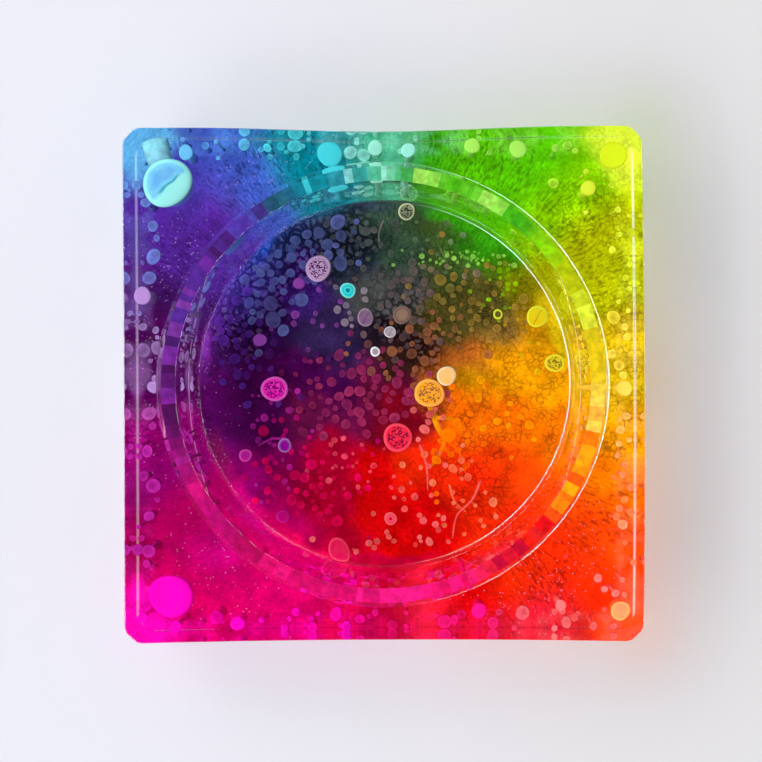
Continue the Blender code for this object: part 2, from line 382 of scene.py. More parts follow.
# How many of each to the metre, and how strongly each is drawn
COBBLE_SCALE = 620.0
COBBLE_SEAM = 0.80
COBBLE_CROWN = 0.14
CRACK_SCALE = 860.0
CRACK_STRENGTH = 0.68
WRINKLES_ROUND = 96.0  # to the radian
WRINKLES_OUT = 620.0
CREASE_STRENGTH = 0.55
RIDGE_STRENGTH = 0.35
SPECK_SCALE = 1500.0
SPECK_STRENGTH = 0.50


def pattern_strength(centres, x, y):
    """1 in the middle of each of a pattern's areas, fading to 0 at its reach."""
    strongest = 0.0
    for cx, cy, reach in centres:
        gap = math.hypot(x - cx * MM, y - cy * MM)
        strongest = max(strongest, 1 - smooth(gap, 0.35 * reach * MM, reach * MM))
    return strongest


def cobbled(t, colour, dark, place, jitter):
    """Packed cobbles of ink, with dark seams between them."""
    loose = t.vector("ADD", place, t.vector("SCALE", jitter, 0.7 * MM))
    gap = t.cells(loose, COBBLE_SCALE, "DISTANCE_TO_EDGE")
    here = t.attribute("cobble")
    seam = t.times(t.step(gap, 0.20, 0.04), here, COBBLE_SEAM)
    crown = t.times(t.step(gap, 0.14, 0.34), here, COBBLE_CROWN)
    return t.mix(seam, t.mix(crown, colour, (0.50, 0.42, 0.52)), dark)


def crackled(t, colour, dark, place, jitter):
    """A net of fine dark cracks, in patches."""
    torn = t.vector("ADD", place, t.vector("SCALE", jitter, 1.7 * MM))
    crack = t.step(t.cells(torn, CRACK_SCALE, "DISTANCE_TO_EDGE"), 0.13, 0.0)
    patches = t.step(t.noise(place, 330.0, 2.0), 0.30, 0.58)
    return t.mix(t.times(crack, patches, t.attribute("crackle"), CRACK_STRENGTH), colour, dark)


def wrinkled(t, colour, dark, place, jitter):
    """Dark creases and pale ridges that run outwards from the middle."""
    x, y, _ = t.axes(place)
    turn = t.times(t.maths("ARCTAN2", x, y), WRINKLES_ROUND)
    out = t.times(t.vector("LENGTH", place, (0.0, 0.0, 0.0)), WRINKLES_OUT)
    spun = t.node("CombineXYZ", {"X": turn, "Y": out}).outputs[0]
    streak = t.noise(t.vector("ADD", spun, t.vector("SCALE", jitter, 1.6)), 1.0, 3.0)
    here = t.attribute("wrinkle")
    crease = t.times(t.step(streak, 0.47, 0.39), here, CREASE_STRENGTH)
    ridge = t.times(t.step(streak, 0.56, 0.66), here, RIDGE_STRENGTH)
    colour = t.mix(crease, colour, dark)
    return t.mix(ridge, colour, t.tinted(colour, (1.7, 1.7, 1.7)))


def speckled(t, colour, place):
    """Pale specks, in patches."""
    speck = t.step(t.cells(place, SPECK_SCALE), 0.26, 0.12)
    patches = t.step(t.noise(place, 700.0, 1.0), 0.54, 0.60)
    share = t.times(speck, patches, t.attribute("speckle"), SPECK_STRENGTH)
    return t.mix(share, colour, (0.75, 0.42, 0.80))


def film_material():
    """The film: each vertex holds its ink, which crackles, cobbles, wrinkles and speckles."""
    t = new_material("ink_film")
    place = t.vector("MULTIPLY", t.place(), (1.0, 1.0, 0.0))
    jitter = t.vector("SUBTRACT", t.noise(place, 420.0, 3.0, "Color"), (0.5, 0.5, 0.5))
    clouds = t.step(t.noise(place, 190.0, 5.0), 0.30, 0.72, 0.70, 1.16)
    colour = t.tinted(t.attribute("ink", "Color"), clouds)
    dark = t.tinted(colour, (0.22, 0.16, 0.20))
    for pattern in (cobbled, crackled, wrinkled):
        colour = pattern(t, colour, dark, place, jitter)
    grain = t.step(t.noise(place, 1500.0, 2.0), 0.30, 0.70, 0.84, 1.14)
    colour = speckled(t, t.tinted(colour, grain), place)
    # A highlight painted along the film's rim, strongest by the right and left sides
    pale = t.mix(0.55, t.tinted(colour, (1.8, 1.8, 1.8)), (1.0, 0.95, 0.95))
    return t.matte(t.mix(t.attribute("painted_rim_highlight"), colour, pale), 0.75)


def drop_material():
    """Small sunken drops: mottled ink, a painted highlight on the shoulder and painted shade at the edge.
    """
    t = new_material("sunken_drops")
    reach = t.attribute("reach")
    mottle = t.step(t.noise(t.place(), 700.0, 3.0), 0.30, 0.70, 0.74, 1.12)
    colour = t.tinted(t.attribute("ink", "Color"), mottle)
    # A painted highlight on the drop's shoulder
    shoulder = t.band(reach, 0.55, 0.78, 0.86, 0.94)
    colour = t.mix(shoulder, colour, t.tinted(colour, (1.10, 1.10, 1.10)))
    # Painted shade round the drop's edge
    outline = t.times(t.band(reach, 0.88, 0.97, 1.04, 1.12), 0.50)
    return t.matte(t.mix(outline, colour, t.tinted(colour, (0.2, 0.2, 0.2))), 0.65)


def slant_across(t, lean, scale, sway):
    """A distance across a cell, at a slant that wavers."""
    place = t.place()
    x, y, _ = t.axes(place)
    return t.plus(t.minus(x, t.times(y, lean)), t.times(t.noise(place, scale, 1.0), sway))


def draw_pores(t, colour, reach, rim, dark):
    """A mesh of dark pores."""
    pore = t.step(t.noise(t.place(), 2700.0, 1.5), 0.51, 0.46)
    return t.mix(t.times(pore, t.step(reach, 0.80, 0.66)), colour, dark)


def draw_ring(t, colour, reach, rim, dark):
    """A darker middle, which leaves a ring of the body's ink."""
    return t.mix(t.step(reach, 0.74, 0.50), colour, dark)


def draw_lens(t, colour, reach, rim, dark):
    """Two tones that meet in a dark lip, with a bluer pool on one side of it."""
    slant = slant_across(t, 1.1, 260.0, 3.0 * MM)
    colour = t.mix(t.step(slant, 1.8 * MM, 3.4 * MM), colour, rim)
    lip = t.band(slant, 1.7 * MM, 2.3 * MM, 2.4 * MM, 3.0 * MM)
    colour = t.mix(t.times(lip, t.step(reach, 0.66, 0.34), 0.80), colour, dark)
    pool = t.times(t.step(slant, 1.4 * MM, 0.2 * MM), t.step(reach, 0.74, 0.50), 0.30)
    return t.mix(pool, colour, linear("cobalt"))


def draw_stroke(t, colour, reach, rim, dark):
    """One faint dark stroke."""
    slant = slant_across(t, 0.6, 500.0, 0.8 * MM)
    stroke = t.step(t.maths("ABSOLUTE", t.minus(slant, 0.5 * MM)), 0.20 * MM, 0.06 * MM)
    return t.mix(t.times(stroke, t.step(reach, 0.80, 0.66), 0.45), colour, dark)


def draw_eye(t, colour, reach, rim, dark):
    """A dark dot with a fainter ring round it."""
    colour = t.mix(t.step(reach, 0.34, 0.18), colour, dark)
    return t.mix(t.times(t.band(reach, 0.42, 0.52, 0.60, 0.72), 0.45), colour, dark)


CELL_STYLES = {
    "speckled": draw_pores,
    "ring": draw_ring,
    "lens": draw_lens,
    "stroke": draw_stroke,
    "eye": draw_eye,
}


def cell_material(name, style, body, rim, dark=None):
    """A large cell: its body's ink in its style, with a rim, over a stem of the vertices' ink."""
    t = new_material(name)
    reach = t.attribute("reach")
    uneven = t.step(t.noise(t.place(), 420.0, 4.0), 0.30, 0.72)
    colour = t.mix(t.times(uneven, 0.35), body, rim)
    if style in CELL_STYLES:
        colour = CELL_STYLES[style](t, colour, reach, rim, dark)
    colour = t.mix(t.times(t.band(reach, 0.76, 0.86, 0.96, 1.02), 0.80), colour, rim)
    return t.matte(t.mix(t.step(reach, 0.97, 1.04), colour, t.attribute("ink", "Color")), 0.6)


def bubble_material():
    """Trapped microbubbles, as bright beads tinted by a slow noise."""
    t = new_material("microbubbles")
    tint = t.mix(t.noise(t.place(), 90.0, 2.0), (0.70, 0.25, 0.70), (0.85, 0.62, 0.85))
    return t.finish(t.node("BsdfPrincipled", {"Base Color": tint, "Roughness": 0.25}))


def resin_material():
    """Water-clear polished resin. Light from the room reaches the inks straight through it."""
    t = new_material("clear_resin")
    glass = t.node("BsdfPrincipled", {
        "Base Color": (0.985, 0.99, 1.0),
        "Transmission Weight": 1.0,
        "IOR": 1.5,
        "Roughness": 0.0,
    })  # fmt: skip
    passing = t.node("BsdfTransparent", {"Color": (0.61, 0.61, 0.62)})
    is_shadow = t.node("LightPath").outputs["Is Shadow Ray"]
    inputs = {0: is_shadow, 1: glass.outputs[0], 2: passing.outputs[0]}
    return t.finish(t.node("MixShader", inputs))


# ---------------------------------------------------------------------------------------------
# Shapes


def arc_corner(before, corner, after, radius, steps):
    """Points that round the corner of a line in the plane."""
    a = (Vector(before) - Vector(corner)).normalized()
    b = (Vector(after) - Vector(corner)).normalized()
    half = a.angle(b) / 2
    reach = radius / math.tan(half)
    start = Vector(corner) + a * reach
    end = Vector(corner) + b * reach
    centre = Vector(corner) + (a + b).normalized() * (radius / math.sin(half))
    points = []
    for i in range(steps + 1):
        spoke = (start - centre).lerp(end - centre, i / steps).normalized() * radius
        points.append(tuple(centre + spoke))
    return points


def nudged(point, corner, towards):
    """A point moved a little along the straight line from a corner towards the next point."""
    return tuple(Vector(point) + (Vector(towards) - Vector(corner)).normalized() * FLAT_GUARD)


def rounded(line, radii, steps):
    """A line of (a, b) points with its inner corners rounded by the given radii.

    A point just before and just after each rounding keeps the shading of the flats flat.
    """
    points = [line[0]]
    for i, radius in enumerate(radii, start=1):
        before, corner, after = line[i - 1 : i + 2]
        arc = arc_corner(before, corner, after, radius, steps)
        points += [nudged(arc[0], corner, before), *arc, nudged(arc[-1], corner, after)]
    return points + [line[-1]]


def bow(side, t):
    """How far a side stands out at a share t, from -1 to 1, of its length."""
    depth, power = SIDE_BOWS[side]
    return depth * (1 - t * t) ** power


def halves(side):
    """Half the block's size across to a side (0 right, 1 back, 2 left, 3 front) and along it."""
    return (HALF_X, HALF_Y) if side % 2 == 0 else (HALF_Y, HALF_X)


def side_points(side):
    """One side of the block's outline between its corner chamfers, bowed in or out."""
    across, along = halves(side)
    points = []
    for i in range(SIDE_STEPS + 1):
        t = 2 * i / SIDE_STEPS - 1
        points.append((across + bow(side, t), t * (along - CORNER_CHAMFER)))
    turn = side * math.pi / 2
    c = math.cos(turn)
    s = math.sin(turn)
    return [(x * c - y * s, x * s + y * c) for x, y in points]


def block_outline():
    """The block's outline, counter-clockwise, with softened chamfers at its corners."""
    outline = []
    sides = [side_points(side) for side in range(4)]
    for points, following in zip(sides, sides[1:] + sides[:1]):
        outline += points[1:-1]
        outline += arc_corner(points[-2], points[-1], following[0], CORNER_SOFTENING, 5)[:-1]
        outline += arc_corner(points[-1], following[0], following[1], CORNER_SOFTENING, 5)
    return outline


def past_chamfer(x, y, clearance):
    """True if a place is less than a clearance, summed over both axes, inside a corner's chamfer."""
    return abs(x) + abs(y) > HALF_X + HALF_Y - CORNER_CHAMFER - clearance


def inset(outline, distance):
    """The outline drawn in square to itself by a distance."""
    moved = []
    for i, (x, y) in enumerate(outline):
        ax, ay = outline[i - 1]
        bx, by = outline[(i + 1) % len(outline)]
        normal = Vector((by - ay, ax - bx)).normalized()
        moved.append((x - normal.x * distance, y - normal.y * distance))
    return moved


def on_oval(radius, angle):
    """A place on the well's slightly oval plan."""
    return radius * math.cos(angle), WELL_OVAL * radius * math.sin(angle)


def ring_of(bm, points, z):
    return [bm.verts.new((x, y, z)) for x, y in points]


def join_rings(bm, rings):
    """Faces between each ring of vertices and the next."""
    for first, second in zip(rings, rings[1:]):
        for i in range(len(first)):
            after = (i + 1) % len(first)
            bm.faces.new((first[i], first[after], second[after], second[i]))


def edges_of(bm, ring):
    return [bm.edges.get((ring[i - 1], ring[i])) for i in range(len(ring))]


def smooth_mesh(bm, name):
    """The bmesh as a mesh with smooth shading."""
    mesh = bpy.data.meshes.new(name)
    bm.to_mesh(mesh)
    bm.free()
    mesh.shade_smooth()
    return mesh


def make_object(name, mesh, material):
    obj = bpy.data.objects.new(name, mesh)
    bpy.context.scene.collection.objects.link(obj)
    mesh.materials.append(material)
    return obj


def join_part(piece, slot, node=None):
    """Puts a piece on the part's one body, in place of the node it stands for. slot is not used."""
    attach(piece, "root")
    if node:
        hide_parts(node)


def store_numbers(mesh, name, values):
    """Keeps one number for each vertex."""
    mesh.attributes.new(name, "FLOAT", "POINT").data.foreach_set("value", values)


def store_inks(mesh, inks):
    """Keeps one colour for each vertex."""
    parts = [part for ink in inks for part in (*ink, 1.0)]
    mesh.attributes.new("ink", "FLOAT_COLOR", "POINT").data.foreach_set("color", parts)


def well_line():
    """(radius, z) points down the well, from the flat top to its floor."""
    line = [
        (WELL_RADIUS + 0.9 * MM, TOP),
        (WELL_RADIUS, TOP),
        (WELL_RADIUS - RIM_BEVEL_WIDTH, TOP - RIM_BEVEL_DEPTH),
        (WELL_FLOOR_RADIUS + WALL_DRAFT, WELL_FLOOR),
        (WELL_FLOOR_RADIUS - 4 * MM, WELL_FLOOR),
    ]
    return rounded(line, (RIM_EDGE, BEVEL_FOOT_EDGE, FLOOR_FILLET), 8)


def make_resin():
    """The whole casting as one closed clear solid, with its well and soft edges."""
    bm = bmesh.new()
    outline = block_outline()
    side_line = [(1.2 * MM, 0.0), (0.0, 0.0), (0.0, TOP), (1.0 * MM, TOP)]
    side_line = rounded(side_line, (BASE_EDGE, TOP_EDGE), 5)
    shell = [ring_of(bm, inset(outline, distance), z) for distance, z in side_line]
    join_rings(bm, shell)
    bm.faces.new(reversed(shell[0]))

    angles = [2 * math.pi * i / WELL_SEGMENTS for i in range(WELL_SEGMENTS)]
    well = [ring_of(bm, [on_oval(radius, a) for a in angles], z) for radius, z in well_line()]
    join_rings(bm, well)
    bm.faces.new(well[-1])
    rims = edges_of(bm, shell[-1]) + edges_of(bm, well[0])
    bmesh.ops.triangle_fill(bm, edges=rims, use_beauty=True)
    bmesh.ops.recalc_face_normals(bm, faces=bm.faces)
    resin = make_object("resin_body", smooth_mesh(bm, "resin_body"), resin_material())
    join_part(resin, "clear_resin", "clear_body")


def pour_at(x, y):
    """The pour that a place in the film belongs to. Their edges wander, as inks do."""
    sway = noise.noise(Vector((x * 90, y * 90, 3.0)))
    cx, cy, radius = CENTRE_POUR
    if math.hypot(x - cx, y - cy) < radius + 2.5 * MM * sway:
        return "charcoal"
    degrees = (math.degrees(math.atan2(y, x)) + POUR_WANDER * sway) % 360
    return next(name for name, end in POUR_ENDS if degrees <= end)


def film_places():
    """The film's grid of (x, y) places, drawn to the block's bowed and chamfered outline."""
    half_x = HALF_X - FILM_INSET
    half_y = HALF_Y - FILM_INSET
    limit = half_x + half_y - CORNER_CHAMFER
    places = []
    for j in range(FILM_GRID + 1):
        v = 2 * j / FILM_GRID - 1
        for i in range(FILM_GRID + 1):
            u = 2 * i / FILM_GRID - 1
            x = u * (half_x + bow(0 if u > 0 else 2, v) * abs(u))
            y = v * (half_y + bow(1 if v > 0 else 3, u) * abs(v))
            over = max(abs(x) + abs(y) - limit, 0.0) / 2
            places.append((x - math.copysign(over, x), y - math.copysign(over, y)))
    return places


def film_height(x, y):
    """The film's upper surface: low swells with finer cobbles on them."""
    swell = noise.noise(Vector((x * 120, y * 120, 0.0)))
    cobble = noise.voronoi(Vector((x * 480, y * 480, 0.0)))[0][0]
    return FILM_TOP + FILM_RELIEF * (0.6 * swell - cobble)


def film_ink(x, y):
    """The film's ink at a place: swirled, and paler in blots along the walls."""
    return blended(film_colour(*drifted(x, y)), round_the_ring(WALL_RING, x, y), wall_share(x, y))


def painted_rim_highlight(column, row):
    """How strongly a highlight is painted on the film at a place of its grid, along its rim."""
    sides = (column == FILM_GRID, row == FILM_GRID, column == 0, row == 0)
    return max(strength * touching for strength, touching in zip(PAINTED_RIM, sides))


def squares_by_pour(places):
    """The film's grid squares, as the indices of their corners, gathered by pour."""
    row = FILM_GRID + 1
    squares = defaultdict(list)
    for j in range(FILM_GRID):
        for i in range(FILM_GRID):
            corners = [j * row + i, j * row + i + 1, (j + 1) * row + i + 1, (j + 1) * row + i]
            middle_x = sum(places[c][0] for c in corners) / 4
            middle_y = sum(places[c][1] for c in corners) / 4
            squares[pour_at(middle_x, middle_y)].append(corners)
    return squares


def slab_mesh(name, places, squares):
    """A closed slab over some of the grid's squares, down to the film's flat underside."""
    bm = bmesh.new()
    grid = bm.verts.layers.int.new("grid")
    upper = {}
    lower = {}
    for corner in sorted({c for square in squares for c in square}):
        x, y = places[corner]
        upper[corner] = bm.verts.new((x, y, film_height(x, y)))
        lower[corner] = bm.verts.new((x, y, FILM_BOTTOM))
        upper[corner][grid] = lower[corner][grid] = corner
    for square in squares:
        bm.faces.new([upper[c] for c in square])
        bm.faces.new([lower[c] for c in reversed(square)])
    edges = {edge: None for square in squares for edge in zip(square, square[1:] + square[:1])}
    for a, b in edges:
        if (b, a) not in edges:
            bm.faces.new((upper[b], upper[a], lower[a], lower[b]))
    bmesh.ops.remove_doubles(bm, verts=bm.verts, dist=1e-6)
    mesh = smooth_mesh(bm, name)
    mesh.set_sharp_from_angle(angle=math.radians(50))
    return mesh


def make_film(material):
    """Nine closed slabs that share their wandering edges, one for each pour."""
    places = film_places()
    row = FILM_GRID + 1
    inks = [film_ink(x, y) for x, y in places]
    pale = [painted_rim_highlight(i % row, i // row) for i in range(len(places))]
    layers = {}
    for name, centres in PATTERNS.items():
        layers[name] = [pattern_strength(centres, x, y) for x, y in places]
    for pour, squares in sorted(squares_by_pour(places).items()):
        mesh = slab_mesh("film_" + pour, places, squares)
        at = [entry.value for entry in mesh.attributes["grid"].data]
        upper = [v.co.z > FILM_BOTTOM + 0.1 * MM for v in mesh.vertices]
        store_inks(mesh, [inks[i] for i in at])
        for name, values in layers.items():
            store_numbers(mesh, name, [values[i] for i in at])
        store_numbers(mesh, "painted_rim_highlight", [pale[i] * above for i, above in zip(at, upper)])
        join_part(make_object("film_" + pour, mesh, material), "ink_" + pour, "ink_pour_" + pour)


class InkMesh:
    """Gathers closed tubes of ink into one mesh, with the ink and the reach of each vertex."""

    def __init__(self):
        self.points = []
        self.faces = []
        self.inks = []
        self.reaches = []

    def add(self, rings):
        """Adds a tube, given as (points, ink, reach) for each ring from one closed end to the other."""
        sides = len(rings[0][0])
        start = len(self.points)
        last = start + (len(rings) - 1) * sides
        for points, ink, reach in rings:
            self.points += points
            self.inks += [ink] * sides
            self.reaches += [reach] * sides
        for low in range(start, last, sides):
            for i in range(sides):
                after = (i + 1) % sides
                self.faces.append((low + i, low + after, low + after + sides, low + i + sides))
        self.faces.append(tuple(reversed(range(start, start + sides))))
        self.faces.append(tuple(range(last, last + sides)))

    def build(self, name, material, origin=(0.0, 0.0, 0.0), smooth_shading=True):
        """The tubes as one object. Sunken inks let light through, so it throws no hard shadow."""
        mesh = bpy.data.meshes.new(name)
        shifted = [(x - origin[0], y - origin[1], z - origin[2]) for x, y, z in self.points]
        mesh.from_pydata(shifted, [], self.faces)
        store_inks(mesh, self.inks)
        store_numbers(mesh, "reach", self.reaches)
        if smooth_shading:
            mesh.shade_smooth()
        obj = make_object(name, mesh, material)
        obj.location = origin
        obj.visible_shadow = False
        return obj


def build_by_pour(kind, gathered, material, smooth_shading=True):
    """One piece for each pour, from the tubes gathered there."""
    for pour, tubes in sorted(gathered.items()):
        piece = tubes.build(kind + "_" + pour, material, smooth_shading=smooth_shading)
        join_part(piece, "ink_" + pour)


# A sunken cell's rings: radius and height as shares, then how far the ring is from the head's
# middle (over 1 below the head), how much of the cell's own ink it shows, and its brightness: painted
# shade and light, darker under the head's edge and down the stem, lighter on the head's shoulder
STEM_RINGS = [
    (0.95, 0.00, 2.0, 0.00, 1.00), (0.80, 0.01, 1.95, 0.10, 0.90), (0.56, 0.05, 1.9, 0.30, 0.90),
    (0.42, 0.20, 1.7, 0.60, 0.95), (0.38, 0.50, 1.5, 0.80, 0.98), (0.44, 0.76, 1.3, 0.90, 0.98),
    (0.74, 0.93, 1.15, 0.95, 0.98),
]  # fmt: skip
HEAD_RINGS = [
    (1.00, -0.16, 1.02, 0.80, 0.75), (0.985, -0.08, 0.98, 0.95, 0.90), (0.93, -0.03, 0.92, 1.00, 1.06),
    (0.82, 0.00, 0.80, 1.00, 1.06), (0.66, 0.02, 0.64, 1.00, 1.00), (0.48, 0.03, 0.46, 1.00, 0.96),
    (0.28, 0.035, 0.26, 1.00, 0.93), (0.12, 0.035, 0.10, 1.00, 0.92),
]  # fmt: skip


def cell_tube(centre, radius, top, ink, segments, shape=(1.0, 1.0, 0.0), lean=(0.0, 0.0), phase=0.0):
    """The rings of a sunken cell, from the foot of its stem in the film up to its head.

    shape is the head's two half-axes as shares of its radius and its turn in radians. lean is how
    far the foot is from under the head, and phase turns the wobble of its outline.
    """
    film = film_colour(centre[0], centre[1])
    height = top - CELL_FOOT
    levels = [(r[0], CELL_FOOT + r[1] * (height - 0.2 * radius), *r[2:]) for r in STEM_RINGS]
    levels += [(r[0], top + r[1] * radius, *r[2:]) for r in HEAD_RINGS]
    cos_turn = math.cos(shape[2])
    sin_turn = math.sin(shape[2])
    rings = []
    for share, z, reach, own, bright in levels:
        fall = 1 - (z - CELL_FOOT) / height
        cx = centre[0] + lean[0] * fall
        cy = centre[1] + lean[1] * fall
        points = []
        for i in range(segments):
            angle = 2 * math.pi * i / segments
            wobble = 1 + 0.035 * math.sin(2 * angle + phase) + 0.02 * math.sin(3 * angle + 2 * phase)
            a = radius * share * wobble * shape[0] * math.cos(angle)
            b = radius * share * wobble * shape[1] * math.sin(angle)
            points.append((cx + a * cos_turn - b * sin_turn, cy + a * sin_turn + b * cos_turn, z))
        # The ring's colour is scaled by its painted shade and light
        rings.append((points, tuple(c * bright for c in blended(film, ink, own)), reach))
    return rings


# The larger cells: node, style, its inks (body, rim and, unless it is plain, a dark one), then the
# head's half-axes, as shares of its radius, and its turn in radians, if it isn't round
CELL_LOOKS = [
    ("cell_lilac_speckled", "speckled", "lilac lilac plum", 1.0, 1.04, 0.0),
    ("cell_pink_small", "plain", "amethyst amethyst"),
    ("cell_cyan_ring", "eye", "turquoise aqua deep_cyan", 1.0, 1.0, 0.3),
    ("cell_mauve", "stroke", "mauve silver plum", 0.98, 1.08, 0.2),
    ("cell_beige", "ring", "taupe fawn fawn", 1.02, 1.06, 0.0),
    ("cell_grey_ring", "stroke", "silver white dusk"),
    ("cell_white_ring", "ring", "white white silver"),
    ("cell_olive_speckled", "speckled", "sage cream soot", 1.0, 1.05, 0.0),
    ("cell_plum", "plain", "amethyst amethyst", 1.0, 0.94, 0.0),
    ("cell_magenta_speckled", "speckled", "hot_pink pink plum", 1.06, 1.0, 0.3),
    ("cell_orange_speckled", "speckled", "amber peach sienna", 1.25, 1.06, -0.15),
    ("cell_peach", "plain", "peach cream", 1.0, 0.98, 0.0),
    ("cell_crimson_speckled", "speckled", "scarlet rose wine", 0.98, 1.06, 0.6),
    ("cell_orange_small", "plain", "orange orange", 1.0, 0.97, 0.0),
    ("cell_violet_ring", "ring", "purple lavender purple"),
    ("cell_pink_ring", "ring", "hot_pink pink orchid"),
    ("cell_magenta_small", "plain", "magenta orchid"), ("cell_red_ring", "eye", "rose coral crimson"),
    ("cell_crimson_drop", "plain", "ruby rose", 0.86, 1.1, 0.5),
    ("cell_yellow_plain", "stroke", "gold lemon olive", 1.0, 1.08, 0.0),
    ("cell_yellow_speckled", "speckled", "gold lemon olive", 1.04, 0.98, 0.2),
    ("cell_amber_ring", "ring", "lemon lemon olive"),
    ("cell_cyan_large", "lens", "sky aqua deep_cyan", 0.97, 1.02, -0.5),
    ("cell_cyan_small", "plain", "sky sky", 1.0, 1.25, 0.1), ("cell_aqua", "plain", "cyan cyan"),
    ("cell_mint", "plain", "mint mint"), ("cell_pale_cyan", "plain", "mint aqua"),
    ("cell_green_west", "plain", "lime lime"), ("cell_green_east", "plain", "lime lime"),
    ("cell_lemon_disc", "plain", "lemon lemon", 1.0, 0.95, 0.0),
    ("cell_lemon_corner", "plain", "chartreuse chartreuse"),
    ("cell_amber_edge", "plain", "straw straw"), ("cell_coral", "plain", "coral coral"),
    ("cell_cerise", "plain", "fuchsia fuchsia"), ("cell_cerise_edge", "plain", "hot_pink hot_pink"),
    ("cell_hot_pink_large", "plain", "hot_pink hot_pink", 1.03, 0.98, 0.0),
    ("cell_lavender", "plain", "lavender lavender"), ("cell_peach_corner", "plain", "salmon peach"),
]  # fmt: skip


def cell_place(node):
    """A named cell's middle, radius and top, as its box in the imported part gives them."""
    low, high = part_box(node)
    centre = tuple((a + b) / 2 for a, b in zip(low, high))
    return centre, (high[0] - low[0]) / 2, high[2]


def make_large_cells():
    """Each of the part's named cells, in the place and at the height that the imported part gives."""
    slots = {part["node"]: part["material_slot"] for part in frame["record"]["subparts"]}
    for order, (node, style, names, *shape) in enumerate(CELL_LOOKS):
        centre, radius, top = cell_place(node)
        inks = ring_of_inks(names)
        tube = InkMesh()
        shape = shape or (1.0, 1.0, 0.0)
        tube.add(cell_tube(centre, radius, top, inks[0], CELL_SEGMENTS, shape, phase=1.7 * order))
        material = cell_material("ink_of_" + node, style, *inks)
        join_part(tube.build("visual_" + node, material, centre), slots[node], node)


# Where small drops gather under the well: x, y, spreads along each, how many, their radii from
# and to, all in millimetres, and their ink
WELL_CLUSTERS = [
    (-31, 11, 2.2, 4.5, 90, 0.6, 1.3, "violet"), (-25, 20, 4, 5, 200, 0.7, 1.75, "steel"),
    (-16, 27, 5, 4, 150, 0.6, 1.6, "steel"), (-7, 31, 5, 3.5, 70, 0.45, 1.1, "ash"),
    (-19, 14, 3, 3, 24, 0.5, 0.9, "amethyst"), (-8, 15, 2, 3, 20, 0.4, 0.9, "silver"),
    (-27, 3, 3, 4, 14, 0.5, 1.0, "violet"), (7, 31, 5, 4, 22, 0.3, 0.7, "sage"),
    (18, 25.5, 8, 0.9, 90, 0.25, 0.6, "lime"), (25, 21, 3, 3, 30, 0.3, 0.6, "pear"),
    (12, 24, 4, 1.5, 18, 0.5, 0.9, "fawn"), (3, 17, 5, 5, 60, 0.5, 1.0, "taupe"),
    (22, 14, 6, 3, 60, 0.3, 0.9, "khaki"), (11, 11, 5, 2, 40, 0.5, 1.1, "sienna"),
    (4, 8, 5, 4, 60, 0.5, 1.2, "sienna"), (0, 0, 5, 4, 90, 0.7, 1.4, "rosewood"),
    (-6, -3, 5, 4, 70, 0.6, 1.25, "rosewood"), (-12, 0, 4, 5, 26, 0.5, 0.9, "rosewood"),
    (9, -7, 2, 5, 26, 0.5, 1.1, "coral"), (14, -10, 5, 5, 50, 0.5, 1.1, "orange"),
    (14, -19, 5, 6, 34, 0.4, 0.9, "salmon"), (9, -26, 5, 4, 26, 0.35, 0.8, "coral"),
    (-7, -16, 4, 4, 30, 0.3, 0.7, "rose"), (-13, -19, 7, 5, 80, 0.5, 1.2, "ruby"),
    (-15, -11, 6, 5, 40, 0.5, 1.1, "magenta"), (-23, -18, 4, 5, 16, 0.4, 1.0, "orchid"),
    (-19, -7, 6, 4, 22, 0.3, 0.8, "orchid"), (-24, 4, 6, 5, 40, 0.5, 1.2, "indigo"),
    (16, 20, 7, 4, 90, 0.5, 1.2, "khaki"), (0, -33, 9, 2.0, 24, 0.4, 0.9, "coral"),
    (24, -6, 5, 4, 24, 0.5, 1.0, "amber"), (30, 10, 3, 5, 14, 0.4, 0.8, "gold"),
]  # fmt: skip


def fits(x, y, radius, taken):
    """True if a drop here stays clear enough of those already placed."""
    return all(math.hypot(x - a, y - b) > DROP_SPACING * (radius + r) for a, b, r in taken)


def in_well(x, y):
    return math.hypot(x, y / WELL_OVAL) < WELL_FLOOR_RADIUS - 1.5 * MM


def well_drops(rng, taken):
    """The small drops under the well's floor, as (x, y, radius, top, ink)."""
    drops = []
    for cx, cy, wide, deep, count, least, most, ink in WELL_CLUSTERS:
        for _ in range(count):
            x = rng.gauss(cx, wide) * MM
            y = rng.gauss(cy, deep) * MM
            radius = (least + (most - least) * rng.random() ** 1.6) * MM
            if not in_well(x, y) or not fits(x, y, radius, taken):
                continue
            taken.append((x, y, radius))
            top = rng.uniform(DROP_LOWEST, WELL_DROP_HIGHEST)
            share = (0.40 + 0.60 * rng.random()) * (0.5 + 0.5 * top / WELL_DROP_HIGHEST)
            drops.append((x, y, radius, top * MM, blended(film_colour(x, y), linear(ink), share)))
    return drops


def edge_drops(rng, taken):
    """Drops that crowd the side walls, and some in the corners, where the resin is deep."""
    drops = []
    for number in range(EDGE_DROPS + CORNER_DROPS):
        along = rng.uniform(-1, 1)
        depth = rng.uniform(0.9, 4.6) * MM
        if number >= EDGE_DROPS:
            depth = rng.uniform(4.0, 14.0) * MM
            along = math.copysign(rng.uniform(0.6, 0.95), along)
        side = rng.randrange(4)
        half_across, half_along = halves(side)
        across = half_across - depth
        run = along * (half_along - 3 * MM)
        x, y = ((across, run), (-run, across), (-across, -run), (run, -across))[side]
        radius = min(0.45 + 1.05 * rng.random() ** 1.6, depth / MM - 0.3) * MM
        if past_chamfer(x, y, 2.5 * MM):
            continue
        from_well = math.hypot(x, y / WELL_OVAL) - radius - WELL_RADIUS
        highest = EDGE_DROP_HIGHEST + EDGE_DROP_RISE * smooth(from_well, 0.0, 16 * MM)
        top = rng.uniform(DROP_LOWEST, highest) * MM
        if not fits(x, y, radius, taken):
            continue
        taken.append((x, y, radius))
        share = 0.40 + 0.60 * rng.random()
        ink = blended(film_colour(x, y), round_the_ring(WALL_RING, x, y), share)
        drops.append((x, y, radius, top, ink))
    return drops


